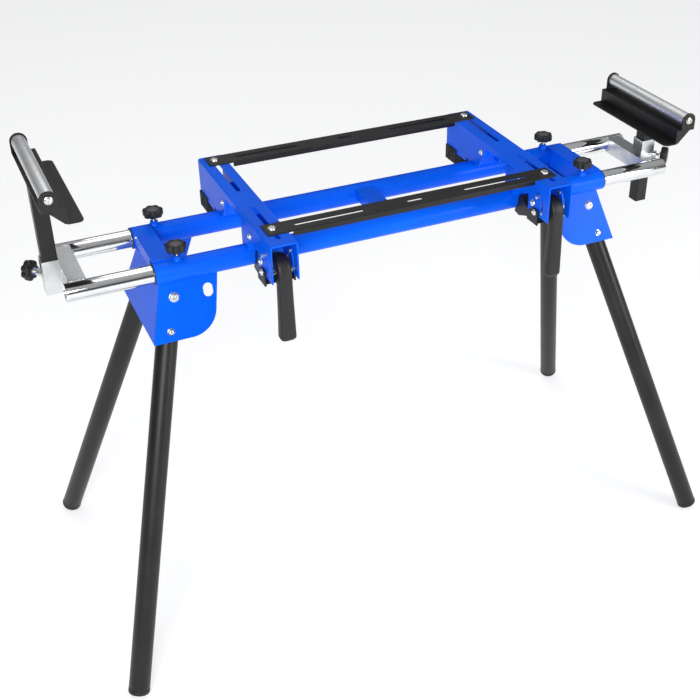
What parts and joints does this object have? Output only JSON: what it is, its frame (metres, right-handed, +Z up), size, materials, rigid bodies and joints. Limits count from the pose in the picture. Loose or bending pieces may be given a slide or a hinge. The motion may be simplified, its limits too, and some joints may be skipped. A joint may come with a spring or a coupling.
{
  "type": "folding mitre saw stand",
  "caption": "Folding mitre saw stand: long tube rails on splayed folding legs, a sliding carriage with slotted mounting bars, and height-adjustable work rollers on telescopic end extensions.",
  "frame": {"origin": "centre of the bounding box on the floor, under the middle of the rails", "axes": "+X along the rails to the right, +Y from the lever side to the rear, +Z up"},
  "size_m": [1.2861, 0.6066, 0.926],
  "materials": {
    "blue_paint": "gloss",
    "black_coat": "satin powder coat",
    "chrome": "bright plated",
    "satin_aluminium": "satin",
    "zinc": "bright zinc",
    "black_plastic": "fine textured",
    "rubber": "matt"
  },
  "bodies": {
    "frame": {"rail_front": "blue_paint", "rail_rear": "blue_paint", "centre_member": "blue_paint", "leg_bracket_left": "blue_paint", "pivot_bolts_left": "zinc", "rail_bushes_left": "black_plastic", "knob_bosses_left": "blue_paint", "leg_bracket_right": "blue_paint", "pivot_bolts_right": "zinc", "rail_bushes_right": "black_plastic", "knob_bosses_right": "blue_paint"},
    "leg_front_left": {"leg_front_left": "black_coat", "foot_cap_front_left": "black_plastic"},
    "lock_front_left": {"lock_button_front_left": "zinc"},
    "leg_rear_left": {"leg_rear_left": "black_coat", "foot_cap_rear_left": "black_plastic"},
    "lock_rear_left": {"lock_button_rear_left": "zinc"},
    "leg_front_right": {"leg_front_right": "black_coat", "foot_cap_front_right": "black_plastic"},
    "lock_front_right": {"lock_button_front_right": "zinc"},
    "leg_rear_right": {"leg_rear_right": "black_coat", "foot_cap_rear_right": "black_plastic"},
    "lock_rear_right": {"lock_button_rear_right": "zinc"},
    "extension_left": {"extension_tube_front_left": "chrome", "extension_tube_rear_left": "chrome", "crossbar_left": "chrome", "post_socket_left": "chrome"},
    "head_left": {"post_left": "black_coat", "roller_bracket_left": "black_coat", "roller_axle_left": "zinc"},
    "roller_left": {"roller_left": "satin_aluminium"},
    "post_knob_left": {"post_knob_left": "black_plastic"},
    "rail_knob_front_left": {"rail_knob_front_left": "black_plastic"},
    "rail_knob_rear_left": {"rail_knob_rear_left": "black_plastic"},
    "extension_right": {"extension_tube_front_right": "chrome", "extension_tube_rear_right": "chrome", "crossbar_right": "chrome", "post_socket_right": "chrome"},
    "head_right": {"post_right": "black_coat", "roller_bracket_right": "black_coat", "roller_axle_right": "zinc"},
    "roller_right": {"roller_right": "satin_aluminium"},
    "post_knob_right": {"post_knob_right": "black_plastic"},
    "rail_knob_front_right": {"rail_knob_front_right": "black_plastic"},
    "rail_knob_rear_right": {"rail_knob_rear_right": "black_plastic"},
    "carriage": {"rear_pads": "rubber", "mounting_bar_front": "black_coat", "mounting_bar_rear": "black_coat", "bar_bolts": "zinc", "saw_bracket_left": "blue_paint", "rail_rests_left": "blue_paint", "clamp_bolts_left": "zinc", "saw_bracket_right": "blue_paint", "rail_rests_right": "blue_paint", "clamp_bolts_right": "zinc"},
    "clamp_lever_left": {"clamp_lever_left": "black_plastic"},
    "clamp_jaw_left": {"clamp_jaw_left": "black_coat"},
    "clamp_lever_right": {"clamp_lever_right": "black_plastic"},
    "clamp_jaw_right": {"clamp_jaw_right": "black_coat"}
  },
  "joints": [
    {"name": "leg_fold_front_left", "type": "hinge", "parent": "frame", "child": "leg_front_left", "pos_m": [-0.4146, -0.05908, 0.66934], "axis": [0, -0.9461, 0.3239], "range_deg": [0, 105.5]},
    {"name": "lock_press_front_left", "type": "slide", "parent": "frame", "child": "lock_front_left", "axis": [0, 0.9461, -0.3239], "range_m": [0, 0.0025], "stiffness_N_per_m": 400},
    {"name": "leg_fold_rear_left", "type": "hinge", "parent": "frame", "child": "leg_rear_left", "pos_m": [-0.4146, 0.05908, 0.66934], "axis": [0, -0.9461, -0.3239], "range_deg": [0, 105.5]},
    {"name": "lock_press_rear_left", "type": "slide", "parent": "frame", "child": "lock_rear_left", "axis": [0, -0.9461, -0.3239], "range_m": [0, 0.0025], "stiffness_N_per_m": 400},
    {"name": "leg_fold_front_right", "type": "hinge", "parent": "frame", "child": "leg_front_right", "pos_m": [0.4146, -0.05908, 0.66934], "axis": [0, 0.9461, -0.3239], "range_deg": [0, 79]},
    {"name": "lock_press_front_right", "type": "slide", "parent": "frame", "child": "lock_front_right", "axis": [0, 0.9461, -0.3239], "range_m": [0, 0.0025], "stiffness_N_per_m": 400},
    {"name": "leg_fold_rear_right", "type": "hinge", "parent": "frame", "child": "leg_rear_right", "pos_m": [0.4146, 0.05908, 0.66934], "axis": [0, 0.9461, 0.3239], "range_deg": [0, 79]},
    {"name": "lock_press_rear_right", "type": "slide", "parent": "frame", "child": "lock_rear_right", "axis": [0, -0.9461, -0.3239], "range_m": [0, 0.0025], "stiffness_N_per_m": 400},
    {"name": "extension_slide_left", "type": "slide", "parent": "frame", "child": "extension_left", "axis": [-1, 0, 0], "range_m": [-0.104, 0.2]},
    {"name": "post_lift_left", "type": "slide", "parent": "extension_left", "child": "head_left", "axis": [0, 0, 1], "range_m": [-0.124, 0.024]},
    {"name": "roller_spin_left", "type": "hinge", "parent": "head_left", "child": "roller_left", "pos_m": [-0.595, 0, 0.9115], "axis": [0, 1, 0], "continuous": true},
    {"name": "post_knob_turn_left", "type": "hinge", "parent": "extension_left", "child": "post_knob_left", "pos_m": [-0.62046, 0.02546, 0.7222], "axis": [-0.7071, 0.7071, 0], "continuous": true},
    {"name": "rail_knob_turn_front_left", "type": "hinge", "parent": "frame", "child": "rail_knob_front_left", "pos_m": [-0.3991, -0.0712, 0.757], "axis": [0, 0, 1], "continuous": true},
    {"name": "rail_knob_turn_rear_left", "type": "hinge", "parent": "frame", "child": "rail_knob_rear_left", "pos_m": [-0.3991, 0.0712, 0.757], "axis": [0, 0, 1], "continuous": true},
    {"name": "extension_slide_right", "type": "slide", "parent": "frame", "child": "extension_right", "axis": [1, 0, 0], "range_m": [-0.104, 0.2]},
    {"name": "post_lift_right", "type": "slide", "parent": "extension_right", "child": "head_right", "axis": [0, 0, 1], "range_m": [-0.048, 0.1]},
    {"name": "roller_spin_right", "type": "hinge", "parent": "head_right", "child": "roller_right", "pos_m": [0.595, 0, 0.8355], "axis": [0, 1, 0], "continuous": true},
    {"name": "post_knob_turn_right", "type": "hinge", "parent": "extension_right", "child": "post_knob_right", "pos_m": [0.62046, -0.02546, 0.7222], "axis": [0.7071, -0.7071, 0], "continuous": true},
    {"name": "rail_knob_turn_front_right", "type": "hinge", "parent": "frame", "child": "rail_knob_front_right", "pos_m": [0.3991, -0.0712, 0.757], "axis": [0, 0, 1], "continuous": true},
    {"name": "rail_knob_turn_rear_right", "type": "hinge", "parent": "frame", "child": "rail_knob_rear_right", "pos_m": [0.3991, 0.0712, 0.757], "axis": [0, 0, 1], "continuous": true},
    {"name": "carriage_slide", "type": "slide", "parent": "frame", "child": "carriage", "axis": [1, 0, 0], "range_m": [-0.045, 0.045]},
    {"name": "clamp_lever_left", "type": "hinge", "parent": "carriage", "child": "clamp_lever_left", "pos_m": [-0.25875, -0.162, 0.754], "axis": [-1, 0, 0], "range_deg": [0, 54]},
    {"name": "clamp_jaw_left", "type": "hinge", "parent": "carriage", "child": "clamp_jaw_left", "pos_m": [-0.25875, -0.174, 0.741], "axis": [-1, 0, 0], "range_deg": [0, 8.2]},
    {"name": "clamp_lever_right", "type": "hinge", "parent": "carriage", "child": "clamp_lever_right", "pos_m": [0.25875, -0.162, 0.754], "axis": [-1, 0, 0], "range_deg": [0, 54]},
    {"name": "clamp_jaw_right", "type": "hinge", "parent": "carriage", "child": "clamp_jaw_right", "pos_m": [0.25875, -0.174, 0.741], "axis": [-1, 0, 0], "range_deg": [0, 8.2]}
  ],
  "couplings": [
    {"joint": "clamp_jaw_left", "follows": "clamp_lever_left", "ratio": 0.15},
    {"joint": "clamp_jaw_right", "follows": "clamp_lever_right", "ratio": 0.15}
  ]
}
